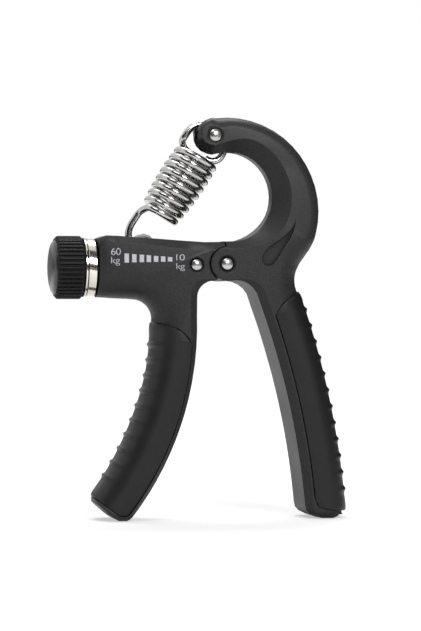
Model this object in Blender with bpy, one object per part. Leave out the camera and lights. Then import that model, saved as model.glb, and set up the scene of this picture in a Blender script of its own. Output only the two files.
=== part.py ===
"""Adjustable hand gripper with a coil spring, a lead screw and a ribbed knob.

Every size is in millimetres. Outlines lie in the XZ plane and are measured
from the pivot; +X is the spring arm's side and -Y is the side with the scale.
"""
import math

import bmesh
import bpy
import numpy as np
from mathutils import Vector

for old in list(bpy.data.objects):
    bpy.data.objects.remove(old, do_unlink=True)

# Running clearance, and how far a cutter reaches past what it cuts
MM = 0.001
GAP = 0.3
PAST = 3.0

# Where the pivot stands over the floor, with the origin under the middle
PIVOT_X = 9.17
PIVOT_Z = 98.8

# Castings
HALF = 12.0
FACE_BEVEL = 2.0
RIDGE = 1.0
SIDE_STEPS = 4

# Spring arm's handle: arcs round one centre, whose heights are measured from the pivot
R_FACE = 307.5
R_FACE_X = 32.5
R_LEVEL = -122.0
R_TOP_Z = -16.83
FOOT_RISE = 5.2
R_DEEP = 16.8
R_BEVEL = 2.9
R_ROUND = 8.5
R_LIP = 3.9
R_PAD_DEPTH = 18.6
R_RIBS = 12
R_ARMPIT = 9.4
WAIST_DIP = 3.02
R_CENTRE = np.array((R_FACE_X - R_FACE, R_LEVEL))
R_METAL = R_FACE + R_DEEP
R_TOP = math.degrees(math.asin((R_TOP_Z - R_LEVEL) / R_FACE))
R_END = math.degrees(math.asin((FOOT_RISE - PIVOT_Z - R_LEVEL) / R_FACE))

# Adjuster arm's handle: arcs round one centre, down to a rounded heel on the floor
L_FACE = 119.3
L_FACE_X = -11.5
L_LEVEL = -24.0
L_DEEP = 15.9
L_ROUND = 9.8
L_LIP = 2.0
L_PAD_DEPTH = 17.6
L_RIBS = 10
L_CORNER = 5.0
L_CORNER_SUNK = 0.24
L_ARMPIT = 6.6
L_NECK = 7.6
L_CENTRE = np.array((L_FACE_X - L_FACE, L_LEVEL))
L_METAL = L_FACE - L_DEEP
L_HEEL = -math.degrees(math.asin((PIVOT_Z + L_LEVEL - L_CORNER + L_CORNER_SUNK) / (L_FACE - L_CORNER)))
L_END = L_HEEL - math.degrees(math.asin(L_CORNER / (L_FACE - L_CORNER)))

# Rubber grips
RIB_DEPTH = 0.9
RIB_STEPS = 4
CORE_HALF = 8.0
CORE_COVER = 4.6
CORE_ROOT = 2.0

# C of the spring arm: its hollow stands over the pivot, inside a larger arc
C_X = 2.03
C_FLOOR = 8.76
C_INNER_R = 17.5
C_SIDE_WALL = 18.16
C_TOP_WALL = 13.43
C_OUTER_R = C_INNER_R + C_SIDE_WALL
C_INNER = np.array((C_X, C_FLOOR + C_INNER_R))
C_OUTER = np.array((C_X, C_FLOOR + 2.0 * C_INNER_R + C_TOP_WALL - C_OUTER_R))
C_LIP_HALF = 3.0
C_SLOPE = 6.4
C_HALF = 8.25
C_EDGE = 4.5
C_EDGE_DEPTH = 5.5
TIP_OUT = 6.945
TIP_TURN = math.radians(103.8)
TIP = C_INNER + (C_INNER_R + TIP_OUT) * np.array((math.cos(TIP_TURN), math.sin(TIP_TURN)))
TIP_R = 6.9
TIP_HALF = 7.7
FORK_HALF = 2.3
FORK_LONG = 9.0
RECESS_DEPTH = 1.5
# Outline of the recess: how far outside the hollow, and at what angle round it
RECESS = [(9.4, -18.8), (9.3, -24.4), (8.7, -30.6), (8.1, -37.4), (7.3, -45.0), (6.9, -52.8),
          (7.2, -58.6), (8.4, -63.3), (10.4, -65.3), (12.1, -64.7), (13.2, -62.3), (13.4, -59.1),
          (12.7, -54.7), (11.6, -48.8), (10.8, -42.6), (10.5, -33.8), (10.0, -26.4)]

# Pivot
CHEEK_R = 6.6
TONGUE_HALF = 5.5
PIVOT_SHANK = 1.9
PIVOT_BUSH_R = 3.4
PIVOT_HEAD = 2.25
SINK_R = 3.5
SINK_DEPTH = 1.0
LIP_GAP_X = -0.5

# Housing, trough and screw
HOUSING_END = -49.6
HOUSING_TOP = 10.8
HOUSING_LOW = -12.9
END_WALL = 4.1
SCREW_Z = -1.4
SCREW_R = 2.3
TROUGH_HALF = 5.2
TROUGH_RIGHT = -14.5
TROUGH_STEP = 4.5
TROUGH_STEP_Z = 3.0
TROUGH_LEFT = HOUSING_END + END_WALL
BUSH_R = 4.5
BEARING_LONG = 2.2
FRAME_RIVET = np.array((-11.97, -0.39))
FRAME_SHANK = 1.5
FRAME_HEAD = 2.1

# Knob
COLLAR_R = 11.2
COLLAR_LONG = 4.8
COLLAR_FLANGE = 0.7
COLLAR_FLANGE_OUT = 0.35
KNOB_R = 12.2
KNOB_LONG = 10.7
KNOB_FLUTES = 42
FLUTE_DEPTH = 0.75
KNOB_CHAMFER = 1.0
CAP_RIM = 1.7
CAP_R = KNOB_R - CAP_RIM
CAP_HIGH = 2.3
CAP_SEAT = 0.6
WASHER_RIM = 3.2
WASHER_R = KNOB_R - WASHER_RIM
WASHER_LONG = 0.6
RING_R = 3.9
RING_LONG = 0.9

# Slider
SLIDER_X = -31.4
EAR_HIGH = 9.7
EAR_R = 3.4
SHOULDER_HIGH = 2.0
SLIDER = np.array((SLIDER_X, SCREW_Z + EAR_HIGH))
EAR_GROOVE_HALF = 2.2
PIN_R = 1.9
NUT_LONG = 7.2
GROOVE_FLOOR = 2.3

# Spring
WIRE_R = 1.4
COIL_R = 7.2
COIL_TURNS = 9
COIL_START = 11.63
COIL_END_ROOM = 8.05
SPRING_LONG = math.hypot(*(TIP - SLIDER))
COIL_PITCH = (SPRING_LONG - COIL_START - COIL_END_ROOM) / COIL_TURNS
TOP_HOOK_R = 8.2
LOW_HOOK_R = 7.5
TIP_PIN_SHANK = 1.1
TIP_BUSH_R = 1.9
TIP_HEAD = 2.4

MATERIALS = {
    "casting": ((0.045, 0.047, 0.050, 1.0), 0.45, 0.0),
    "rubber": ((0.022, 0.022, 0.024, 1.0), 0.75, 0.0),
    "chrome": ((0.80, 0.80, 0.82, 1.0), 0.12, 1.0),
    "nickel": ((0.72, 0.67, 0.58, 1.0), 0.22, 1.0),
    "steel": ((0.56, 0.57, 0.58, 1.0), 0.35, 1.0),
    "knob_plastic": ((0.035, 0.036, 0.038, 1.0), 0.50, 0.0),
    "cap_plastic": ((0.060, 0.060, 0.063, 1.0), 0.30, 0.0),
    "brass": ((0.72, 0.52, 0.24, 1.0), 0.30, 1.0),
}


def material(node, kind):
    """Own Principled material of one node."""
    colour, rough, metal = MATERIALS[kind]
    mat = bpy.data.materials.new(node)
    mat.use_nodes = True
    shader = mat.node_tree.nodes["Principled BSDF"]
    shader.inputs["Base Color"].default_value = colour
    shader.inputs["Roughness"].default_value = rough
    shader.inputs["Metallic"].default_value = metal
    mat.diffuse_color = colour
    return mat


def empty(name, spot, parent=None):
    """Axis empty at a point of the XZ plane, measured from the pivot."""
    holder = bpy.data.objects.new(name, None)
    holder.empty_display_size = 0.01
    holder.location = ((PIVOT_X + spot[0]) * MM, 0.0, (PIVOT_Z + spot[1]) * MM)
    bpy.context.collection.objects.link(holder)
    if parent:
        attach(holder, parent)
    return holder


def attach(child, parent):
    """Parent an object and keep it where it stands."""
    bpy.context.view_layer.update()
    child.parent = parent
    child.matrix_parent_inverse = parent.matrix_world.inverted()


def add(name, points, faces, origin=(0.0, 0.0), kind=None, parent=None):
    """Object from points measured from the pivot, with its own origin."""
    shift = Vector((origin[0], 0.0, origin[1]))
    mesh = bpy.data.meshes.new(name)
    work = bmesh.new()
    corners = [work.verts.new((Vector(p) - shift) * MM) for p in points]
    for face in faces:
        work.faces.new([corners[i] for i in face])
    bmesh.ops.recalc_face_normals(work, faces=work.faces)
    bmesh.ops.triangulate(work, faces=work.faces, ngon_method="EAR_CLIP")
    work.to_mesh(mesh)
    work.free()
    thing = bpy.data.objects.new(name, mesh)
    thing.location = ((PIVOT_X + origin[0]) * MM, 0.0, (PIVOT_Z + origin[1]) * MM)
    bpy.context.collection.objects.link(thing)
    if kind:
        mesh.materials.append(material(name, kind))
        mesh.shade_smooth()
        mesh.set_sharp_from_angle(angle=math.radians(32.0))
    if parent:
        attach(thing, parent)
    return thing


def boolean(target, tool, operation):
    """Boolean with a tool that is hidden from renders."""
    step = target.modifiers.new(tool.name, "BOOLEAN")
    step.operation = operation
    step.solver = "EXACT"
    step.object = tool
    tool.hide_render = True
    tool.display_type = "WIRE"
    attach(tool, target)


def polar(centre, radius, degrees):
    """Point on a circle of the XZ plane."""
    angle = math.radians(degrees)
    return np.array((centre[0] + radius * math.cos(angle), centre[1] + radius * math.sin(angle)))


def unit(vector):
    """Vector of length one."""
    return vector / math.hypot(*vector)


def ease(value, low, high):
    """Smooth step from 0 at low to 1 at high."""
    part = min(max((value - low) / (high - low), 0.0), 1.0)
    return part * part * (3.0 - 2.0 * part)


def along(points, share):
    """Point at a share of a polyline's length."""
    points = np.array(points, float)
    runs = np.hypot(*np.diff(points, axis=0).T)
    marks = np.concatenate(([0.0], np.cumsum(runs)))
    at = share * marks[-1]
    return np.array([np.interp(at, marks, points[:, 0]), np.interp(at, marks, points[:, 1])])


class Station:
    """One cross-section: rounded side at a, bevelled side at b, plateaus between."""

    def __init__(self, a, b, wide_a, deep_a, wide_b, deep_b, half=HALF, border_a=None, border_b=None):
        self.a = np.array(a, float)
        self.b = np.array(b, float)
        chord = unit(self.b - self.a)
        self.border_a = self.a + chord * wide_a if border_a is None else np.array(border_a, float)
        self.border_b = self.b - chord * wide_b if border_b is None else np.array(border_b, float)
        self.half = half
        self.deep_a = deep_a
        self.deep_b = deep_b

    def ring(self, steps_a, steps_b):
        """Closed ring of points, front from a to b and back from b to a."""
        side = []
        for k in range(steps_a + 1):
            turn = math.pi / 2 * k / steps_a
            spot = self.a + (self.border_a - self.a) * (1.0 - math.cos(turn))
            side.append((spot, self.half - self.deep_a * (1.0 - math.sin(turn))))
        for k in range(steps_b, -1, -1):
            part = k / steps_b
            spot = self.b + (self.border_b - self.b) * part
            side.append((spot, self.half - self.deep_b * (1.0 - part)))
        front = [(s[0], -y, s[1]) for s, y in side]
        back = [(s[0], y, s[1]) for s, y in reversed(side)]
        return front + back


def loft(name, stations, steps_a=SIDE_STEPS, steps_b=1, **options):
    """Closed skin over a row of stations, with flat ends.

    Where neighbouring stations have the casting's full width, each plateau is one flat face.
    """
    rings = [s.ring(steps_a, steps_b) for s in stations]
    count = len(rings[0])
    points = [p for ring in rings for p in ring]
    faces = [tuple(range(count)), tuple(range(len(points) - count, len(points)))]
    borders = ((steps_a, steps_a + 1), (count - 1 - steps_a, count - 2 - steps_a))
    plateaus = (steps_a, count - 2 - steps_a)
    flat = []
    for i in range(len(rings) - 1):
        full = stations[i].half == HALF and stations[i + 1].half == HALF
        for j in range(count):
            if full and j in plateaus:
                continue
            k = (j + 1) % count
            faces.append((i * count + j, i * count + k, (i + 1) * count + k, (i + 1) * count + j))
        if full:
            flat.append(i)
    if flat:
        run = list(range(flat[0], flat[-1] + 2))
        for near, far in borders:
            faces.append(tuple([i * count + near for i in run] + [i * count + far for i in reversed(run)]))
    return add(name, points, faces, **options)


def prism(name, outline, low, high, **options):
    """Outline of the XZ plane carried from y = low to y = high."""
    count = len(outline)
    points = [(p[0], low, p[1]) for p in outline] + [(p[0], high, p[1]) for p in outline]
    faces = [tuple(range(count)), tuple(range(count, 2 * count))]
    for i in range(count):
        j = (i + 1) % count
        faces.append((i, j, count + j, count + i))
    return add(name, points, faces, **options)


def turned(name, profile, spot, along_x=False, sides=24, **options):
    """Turned piece: rows of (radius, height) on an axis along Y or X through a spot.

    A profile that starts and ends on the axis is solid; any other is a ring.
    """
    solid = profile[0][0] == 0.0
    rows = profile[1:-1] if solid else profile
    points = []
    for radius, height in rows:
        for k in range(sides):
            turn = 2.0 * math.pi * k / sides
            across, up = radius * math.cos(turn), radius * math.sin(turn)
            if along_x:
                points.append((height, across, spot[1] + up))
            else:
                points.append((spot[0] + across, height, spot[1] + up))
    faces = []
    last = len(rows) - 1
    for i in range(last if solid else len(rows)):
        j = (i + 1) % len(rows)
        for k in range(sides):
            m = (k + 1) % sides
            faces.append((i * sides + k, i * sides + m, j * sides + m, j * sides + k))
    if solid:
        for row, end in ((0, profile[0]), (last, profile[-1])):
            if abs(end[1] - rows[row][1]) < 1e-6:
                faces.append(tuple(row * sides + k for k in range(sides)))
                continue
            points.append((end[1], 0.0, spot[1]) if along_x else (spot[0], end[1], spot[1]))
            for k in range(sides):
                faces.append((row * sides + k, row * sides + (k + 1) % sides, len(points) - 1))
    return add(name, points, faces, **options)


def cylinder(name, spot, radius, low, high, along_x=False, sides=24, **options):
    """Plain round bar or cutter."""
    profile = [(0.0, low), (radius, low), (radius, high), (0.0, high)]
    return turned(name, profile, spot, along_x, sides, **options)


def box(name, low, high, **options):
    """Plain block or cutter."""
    outline = [(low[0], low[2]), (high[0], low[2]), (high[0], high[2]), (low[0], high[2])]
    return prism(name, outline, low[1], high[1], **options)


def trough_bar(name, half, top, low, high, **options):
    """Bar along X with a round bottom under the screw's axis, from x = low to x = high."""
    outline = [(half, top)]
    outline += [(half * math.cos(a), SCREW_Z + half * math.sin(a)) for a in np.linspace(0.0, -math.pi, 13)]
    outline += [(-half, top)]
    count = len(outline)
    points = [(x, y, z) for x in (low, high) for y, z in outline]
    faces = [tuple(range(count)), tuple(range(count, 2 * count))]
    faces += [(i, (i + 1) % count, count + (i + 1) % count, count + i) for i in range(count)]
    return add(name, points, faces, **options)


def tube_profile(inner, outer, low, high):
    """Plain ring or tube as rows of (radius, height)."""
    return [(inner, low), (outer, low), (outer, high), (inner, high)]


# Cross-sections of the castings and grips

def spring_arm_stations():
    """Handle, hub and C of the spring arm, from its foot to its forked tip."""
    floor = -PIVOT_Z
    outer_x = polar(R_CENTRE, R_METAL, R_END)[0]
    inner_x = polar(R_CENTRE, R_FACE, R_END)[0]
    rows = [
        Station((outer_x - 4.6, floor), (inner_x + 6.9, floor), 1.6, 4.0, 0.8, 1.0, HALF - 1.6),
        Station((outer_x - 1.9, floor + 0.6), (inner_x + 4.3, floor + 0.5), 5.0, 10.0, 1.6, 1.8, HALF - 0.5),
        Station((outer_x - 0.4, floor + 2.0), (inner_x + 1.9, floor + 1.7), 8.0, HALF - RIDGE, 2.4, FACE_BEVEL),
        Station((outer_x + 0.1, floor + 3.9), (inner_x + 0.5, floor + 3.2), R_ROUND, HALF - RIDGE, R_BEVEL,
                FACE_BEVEL),
    ]
    for theta in np.linspace(R_END, R_TOP, 15):
        a = polar(R_CENTRE, R_METAL, theta)
        b = polar(R_CENTRE, R_FACE, theta)
        rows.append(Station(a, b, R_ROUND, HALF - RIDGE, R_BEVEL, FACE_BEVEL))
    below = polar(R_CENTRE, R_METAL, R_TOP)
    above = polar(C_OUTER, C_OUTER_R, -17.8)
    waist = [below + (above - below) * share - (dip * WAIST_DIP, 0.0)
             for share, dip in ((0.0, 0.0), (0.106, 0.48), (0.189, 0.75), (0.281, 0.95), (0.395, 1.0),
                                (0.524, 0.77), (0.621, 0.47), (0.75, 0.18), (1.0, 0.0))]
    armpit = np.array((polar(R_CENTRE, R_FACE, R_TOP)[0] - R_ARMPIT - 0.85, 0.3 - CHEEK_R - R_ARMPIT))
    for k, turn in enumerate(np.linspace(12.0, 90.0, 6)):
        b = polar(armpit, R_ARMPIT, turn)
        rim = R_BEVEL + (0.6 - R_BEVEL) * ease(k, 1, 5)
        deep = FACE_BEVEL + (0.4 - FACE_BEVEL) * ease(k, 1, 5)
        rows.append(Station(along(waist, 0.05 + 0.06 * k), b, R_ROUND, HALF - RIDGE, rim, deep,
                            border_b=polar(armpit, R_ARMPIT + rim, turn)))
    lip = LIP_GAP_X + GAP
    for k, turn in enumerate(np.linspace(279.0, 92.0, 9)):
        b = polar((0.0, 0.0), CHEEK_R, turn)
        rows.append(Station(along(waist, 0.38 + 0.012 * k), b, R_ROUND, HALF - RIDGE, 0.4, 0.4,
                            border_b=polar((0.0, 0.0), CHEEK_R - 0.4, turn)))
    rows.append(Station(along(waist, 0.50), (lip, CHEEK_R + 0.15), R_ROUND, HALF - RIDGE, 1.0, 0.65,
                        border_b=(lip + 0.45, CHEEK_R - 0.5)))
    rows.append(Station(along(waist, 0.53), (lip, C_FLOOR - 0.05), R_ROUND, HALF - RIDGE, 1.0, FACE_BEVEL,
                        border_b=(lip + 1.1, CHEEK_R - 0.65)))
    for turn in np.linspace(-90.0, 107.5, 25):
        flat = ease(turn, -88.0, -20.0)
        thin = ease(turn, -40.0, 40.0)
        half = HALF + (C_HALF - HALF) * thin + (TIP_HALF - C_HALF) * ease(turn, 40.0, 105.0)
        lip_half = (HALF - FACE_BEVEL) * (1.0 - flat) + C_LIP_HALF * flat
        slope = 3.0 + (C_SLOPE - 3.0) * flat * (1.0 - ease(turn, 62.0, 107.0))
        b = polar(C_INNER, C_INNER_R, turn)
        wide = R_ROUND + (C_EDGE - R_ROUND) * flat
        deep = (HALF - RIDGE) * (1.0 - flat) + C_EDGE_DEPTH * flat
        if turn < -17.8:
            a = along(waist, 0.56 + 0.44 * (turn + 90.0) / 72.2)
            lean = ease(turn, -90.0, -30.0)
            border_a = a + unit(unit(C_OUTER - a) * lean + unit(b - a) * (1.0 - lean)) * wide
        else:
            outer = -17.8 + (turn + 17.8) * 0.92
            a = polar(C_OUTER, C_OUTER_R, outer)
            border_a = polar(C_OUTER, C_OUTER_R - wide, outer)
        rows.append(Station(a, b, wide, deep, slope, half - lip_half, half, border_a,
                            polar(C_INNER, C_INNER_R + slope, turn)))
    for turn in (100.0, 125.0, 148.0, 166.0):
        a = polar(TIP, TIP_R, turn)
        b = polar(TIP, TIP_R, -turn + 360.0)
        edge = 1.6 + 1.4 * ease(180.0 - turn, 14.0, 80.0)
        rows.append(Station(a, b, edge, C_EDGE_DEPTH * 0.6, edge, TIP_HALF - C_LIP_HALF, TIP_HALF,
                            polar(TIP, TIP_R - edge, turn), polar(TIP, TIP_R - edge, -turn + 360.0)))
    return rows


def adjuster_arm_stations():
    """Housing, hub and handle of the adjuster arm, from the knob's side to its foot."""
    hub = CHEEK_R + GAP
    gap_x = LIP_GAP_X - GAP
    deep_a = HALF - RIDGE
    neck = np.array((L_FACE_X - L_DEEP - L_NECK - 0.3, HOUSING_LOW - L_NECK - 0.8))
    armpit = np.array((L_FACE_X + L_ARMPIT, 0.2 - CHEEK_R - L_ARMPIT))
    end = HOUSING_END
    under_long = neck[0] - 2.0 - end
    over_long = TROUGH_RIGHT - 10.9 - end
    under = [(end + under_long * share, HOUSING_LOW - drop)
             for share, drop in ((0.0, 0.0), (0.23, 0.1), (0.5, 0.35), (0.78, 0.5), (1.0, 0.6))]
    over = [(end + over_long * share, HOUSING_TOP - drop)
            for share, drop in ((0.0, 1.1), (0.116, 0.0), (0.33, 0.2), (0.665, 0.75), (1.0, 1.3))]
    tall = [2.2, 2.4, 2.5, 2.7, 2.9]
    rows = []
    for k in range(5):
        half = HALF - 1.2 if k == 0 else HALF
        rows.append(Station(under[k], over[k], 10.4, half - RIDGE, tall[k], FACE_BEVEL, half,
                            (under[k][0], under[k][1] + 10.4), (over[k][0] + 0.6 * (k == 1), over[k][1] - tall[k])))
    border = 5.45
    brink = [((-17.0, 8.9), (-17.2, 5.75), FACE_BEVEL), ((-8.6, 8.4), (-10.2, 5.1), FACE_BEVEL),
             ((-3.0, 8.5), (-6.2, 5.2), FACE_BEVEL), ((gap_x, 8.8), (-5.6, 5.35), FACE_BEVEL)]
    for turn in (97.0, 106.0, 116.0, 126.0):
        spot = polar((0.0, 0.0), hub, turn)
        brink.append((spot, (-4.65 - (126.0 - turn) / 40.0, border - 0.15 * (turn > 120.0)),
                      0.02 + FACE_BEVEL * max(spot[1] - border, 0.0) / 3.3))
    for turn in (142.0, 158.0, 174.0, 190.0, 206.0, 222.0, 238.0):
        brink.append((polar((0.0, 0.0), hub, turn), polar((0.0, 0.0), hub + 0.4, turn), 0.4))
    for turn in (100.0, 114.0, 128.0, 142.0, 156.0, 170.0, 184.0):
        rim = 0.6 + 2.2 * ease(turn, 100.0, 142.0)
        brink.append((polar(armpit, L_ARMPIT, turn), polar(armpit, L_ARMPIT + rim, turn),
                      0.4 + (FACE_BEVEL - 0.4) * ease(turn, 100.0, 142.0)))
    for k, (spot, edge, deep) in enumerate(brink):
        turn = 90.0 - 99.0 * (k + 0.5) / len(brink)
        a = polar(neck, L_NECK, turn)
        rows.append(Station(a, spot, 10.2, deep_a, 1.0, deep, HALF, polar(neck, L_NECK + 10.2, turn), edge))
    for k, theta in enumerate(np.linspace(-0.5, L_HEEL, 15)):
        lead = 2.4 * (1.0 - ease(k, 0, 6))
        rim = 2.8 + (1.5 - 2.8) * k / 14
        rows.append(Station(polar(L_CENTRE, L_METAL, theta), polar(L_CENTRE, L_FACE, theta + lead), L_ROUND,
                            deep_a, rim, FACE_BEVEL, HALF, polar(L_CENTRE, L_METAL + L_ROUND, theta),
                            polar(L_CENTRE, L_FACE - rim, theta + lead)))
    heel = polar(L_CENTRE, L_FACE - L_CORNER, L_HEEL)
    floor = -PIVOT_Z
    flat = math.sqrt(max(L_CORNER ** 2 - (floor - heel[1]) ** 2, 0.04))
    arc = [polar(heel, L_CORNER, -58.0), (heel[0] + flat, floor), (heel[0] - flat, floor),
           polar(heel, L_CORNER, L_END - 90.0)]
    for k, spot in enumerate(arc):
        theta = L_HEEL + (L_END - L_HEEL) * (k + 1) / 4
        a = polar(L_CENTRE, L_METAL + (1.2 if k == 3 else 0.0), theta)
        half = HALF - (1.0 if k == 3 else 0.0)
        wide = min(L_ROUND, 0.68 * math.hypot(*(spot - a)))
        rows.append(Station(a, spot, wide, half - RIDGE, 1.5, FACE_BEVEL, half))
    return rows


def spring_grip_stations(ribs=True):
    """Grip of the spring arm; its inner edge follows the groove in the casting."""
    groove = R_FACE + R_LIP
    crest = R_FACE + R_PAD_DEPTH
    deep_a = HALF - RIDGE
    top = polar(R_CENTRE, R_METAL, R_TOP)
    rows = []
    for lead, inset, shift, share in ((0.05, 0.8, (-7.3, -4.1), 0.8), (-0.2, 0.3, (-8.6, -5.3), 0.95),
                                      (-0.5, 0.0, (-9.4, -6.6), 1.0)):
        rows.append(Station(polar(R_CENTRE, crest - inset, R_TOP + lead), top + shift, R_ROUND * share, deep_a,
                            0.3, 0.2))
    start, stop = R_TOP - 1.25, R_END + 0.8
    pitch = (start - stop) / (R_RIBS - 1)
    steps = [(start + 0.4, 0.0)]
    for k in range(R_RIBS):
        centre = start - pitch * k
        if ribs:
            steps += [(centre + 0.22 * pitch, 0.0), (centre - 0.22 * pitch, 0.0)]
            if k < R_RIBS - 1:
                steps += [(centre - 0.34 * pitch, 0.75), (centre - 0.5 * pitch, 1.0), (centre - 0.66 * pitch, 0.75)]
        else:
            steps += [(centre, 0.0)]
    steps += [(stop - 0.35, 0.0)]
    for theta, sink in steps:
        radius = crest - RIB_DEPTH * sink
        rows.append(Station(polar(R_CENTRE, radius, theta), polar(R_CENTRE, groove, theta),
                            R_ROUND - (crest - radius), deep_a, 0.3, 0.2))
    foot_x = polar(R_CENTRE, R_METAL, R_END)[0]
    for lead, back, rise in ((0.1, 12.1, 5.6), (-0.2, 11.6, 4.6), (-0.42, 10.6, 4.0), (-0.65, 8.9, 3.7)):
        inset = 0.5 * (0.1 - lead)
        rows.append(Station(polar(R_CENTRE, crest - inset, R_END + lead), (foot_x - back, rise - PIVOT_Z),
                            R_ROUND - inset, deep_a, 0.3, 0.2))
    return rows


def adjuster_grip_stations(ribs=True):
    """Grip of the adjuster arm; its inner edge follows the groove in the casting."""
    groove = L_FACE - L_LIP
    crest = L_FACE - L_PAD_DEPTH
    deep_a = HALF - RIDGE
    rows = []
    for theta, inset, back, drop, share in ((0.6, 0.8, 8.0, 1.2, 0.8), (-0.1, 0.3, 6.0, 2.3, 0.95),
                                            (-0.9, 0.0, 4.2, 4.1, 1.0), (-2.2, 0.0, 2.8, 6.2, 1.0)):
        rows.append(Station(polar(L_CENTRE, crest + inset, theta), (L_FACE_X - back, L_LEVEL - drop),
                            L_ROUND * share, deep_a, 0.3, 0.2))
    start, stop = -4.0, L_END + 6.0
    pitch = (start - stop) / (L_RIBS - 1)
    steps = [(-3.9, 0.0)]
    for k in range(L_RIBS):
        centre = start - pitch * k
        if ribs:
            if k:
                steps += [(centre + 0.22 * pitch, 0.0)]
            steps += [(centre - 0.22 * pitch, 0.0)]
            if k < L_RIBS - 1:
                steps += [(centre - 0.34 * pitch, 0.75), (centre - 0.5 * pitch, 1.0), (centre - 0.66 * pitch, 0.75)]
        else:
            steps += [(centre, 0.0)]
    steps += [(L_END + 3.8, 0.0)]
    for theta, sink in steps:
        radius = crest + RIB_DEPTH * sink
        rows.append(Station(polar(L_CENTRE, radius, theta), polar(L_CENTRE, groove, theta),
                            L_ROUND - (radius - crest), deep_a, 0.3, 0.2))
    heel = polar(L_CENTRE, L_FACE - L_CORNER, L_HEEL)
    for rise, turn, inset in ((2.7, -12.0, 0.0), (1.8, -35.0, 0.1), (1.2, -58.0, 0.3), (0.8, -84.0, 0.7)):
        rows.append(Station(polar(L_CENTRE, crest + inset, L_END + rise),
                            polar(heel, L_CORNER - L_LIP, L_HEEL + turn), L_ROUND, deep_a, 0.3, 0.2))
    return rows


def seat_cutter(name, rows):
    """Prism that clears a grip's outline, with the clearance all round it."""
    inner = [s.b + unit(s.b - s.a) * GAP for s in rows]
    ends = []
    for s, other in ((rows[0], rows[1]), (rows[-1], rows[-2])):
        chord = unit(s.b - s.a)
        lift = np.array((-chord[1], chord[0])) * GAP
        if lift @ (s.a + s.b - other.a - other.b) < 0.0:
            lift = -lift
        ends.append((s.a + lift - chord * 9.0, s.b + lift + chord * GAP))
    outline = [ends[0][0], ends[0][1]] + inner[1:-1] + [ends[1][1], ends[1][0]]
    return prism(name, outline, -HALF - PAST, HALF + PAST)


def core(name, rows, spare, reach):
    """Tongue of the casting under a grip, or its cutter with some spare room."""
    between = [Station((s.a + t.a) / 2, (s.b + t.b) / 2, 1.0, 1.0, 1.0, 1.0) for s, t in zip(rows, rows[1:])]
    picked = rows[:1] + between[2:-1:2] + rows[-1:]
    made = []
    for k, s in enumerate(picked):
        chord = unit(s.b - s.a)
        a = s.a + chord * (CORE_COVER - spare)
        b = s.b + chord * CORE_ROOT
        if k in (0, len(picked) - 1):
            other = picked[1] if k == 0 else picked[-2]
            lift = unit((s.a + s.b) - (other.a + other.b)) * reach
            a, b = a + lift, b - chord * (CORE_ROOT + 0.5 - spare) + lift
        made.append(Station(a, b, 1.5, 1.5, 0.4, 0.4, CORE_HALF + spare))
    return loft(name, made, 2, 1)


def countersink(arm, name, spot, face, inner, outer):
    """Conical seats for a rivet's two heads, in the casting's faces at |y| = face."""
    for side in (-1.0, 1.0):
        low, high, clear = side * (face - SINK_DEPTH), side * face, side * (face + PAST)
        profile = [(0.0, low), (inner, low), (outer, high), (outer, clear), (0.0, clear)]
        boolean(arm, turned("%s%d" % (name, side), profile, spot), "DIFFERENCE")


def rivet_profile(shank, head, face, crown=0.5):
    """Rivet along Y with a low crown on each end."""
    half = [(shank, face - SINK_DEPTH + GAP), (head, face - 0.35), (head * 0.97, face), (head * 0.6, face + crown)]
    top = face + crown * 1.15
    return [(0.0, -top)] + [(r, -y) for r, y in reversed(half)] + half + [(0.0, top)]


# Axes

hinge = empty("hinge_axis", (0.0, 0.0))
screw_axis = empty("screw_axis", (HOUSING_END, SCREW_Z))
slider_axis = empty("slider_axis", SLIDER)
hook_axis = empty("hook_axis", TIP, hinge)

# Adjuster arm

arm_l = loft("adjuster_arm", adjuster_arm_stations(), kind="casting")
boolean(arm_l, seat_cutter("cut_adjuster_grip", adjuster_grip_stations(False)), "DIFFERENCE")
boolean(arm_l, core("add_adjuster_core", adjuster_grip_stations(False)[:-3], 0.0, 1.0), "UNION")
tongue = [polar((0.0, 0.0), CHEEK_R, a) for a in np.linspace(-100.0, 100.0, 25)]
tongue += [(-5.4, 5.0), (-10.5, 4.5), (-10.5, -4.5), (-5.4, -4.8)]
boolean(arm_l, prism("add_tongue", tongue, -TONGUE_HALF, TONGUE_HALF), "UNION")
open_top = HOUSING_TOP + PAST
boolean(arm_l, trough_bar("cut_trough", TROUGH_HALF, open_top, TROUGH_LEFT, TROUGH_RIGHT), "DIFFERENCE")
boolean(arm_l, box("cut_trough_top", (TROUGH_RIGHT - 1.0, -TROUGH_HALF, TROUGH_STEP_Z),
                   (TROUGH_RIGHT + TROUGH_STEP, TROUGH_HALF, open_top + 1.0)), "DIFFERENCE")
boolean(arm_l, cylinder("cut_bush_bore", (0.0, SCREW_Z), BUSH_R + GAP, HOUSING_END - PAST, TROUGH_LEFT + 1.0,
                        True), "DIFFERENCE")
reach = HALF + PAST
boolean(arm_l, cylinder("cut_pivot_bush", (0.0, 0.0), PIVOT_BUSH_R + GAP, -reach, reach), "DIFFERENCE")
boolean(arm_l, cylinder("cut_frame_rivet", FRAME_RIVET, FRAME_SHANK + GAP, -reach, reach), "DIFFERENCE")
countersink(arm_l, "cut_frame_sink", FRAME_RIVET, HALF, FRAME_SHANK + GAP + 0.2, FRAME_HEAD + 1.0)

grip_l = loft("adjuster_grip", adjuster_grip_stations(), RIB_STEPS, 1, kind="rubber")
boolean(grip_l, core("cut_adjuster_core", adjuster_grip_stations(False)[:-3], GAP, 1.0 + GAP), "DIFFERENCE")

turned("frame_rivet", rivet_profile(FRAME_SHANK, FRAME_HEAD, HALF), FRAME_RIVET, origin=FRAME_RIVET,
       kind="chrome")
pivot_bush = tube_profile(PIVOT_SHANK + GAP, PIVOT_BUSH_R, -TONGUE_HALF, TONGUE_HALF)
turned("pivot_bush", pivot_bush, (0.0, 0.0), kind="brass")

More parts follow.
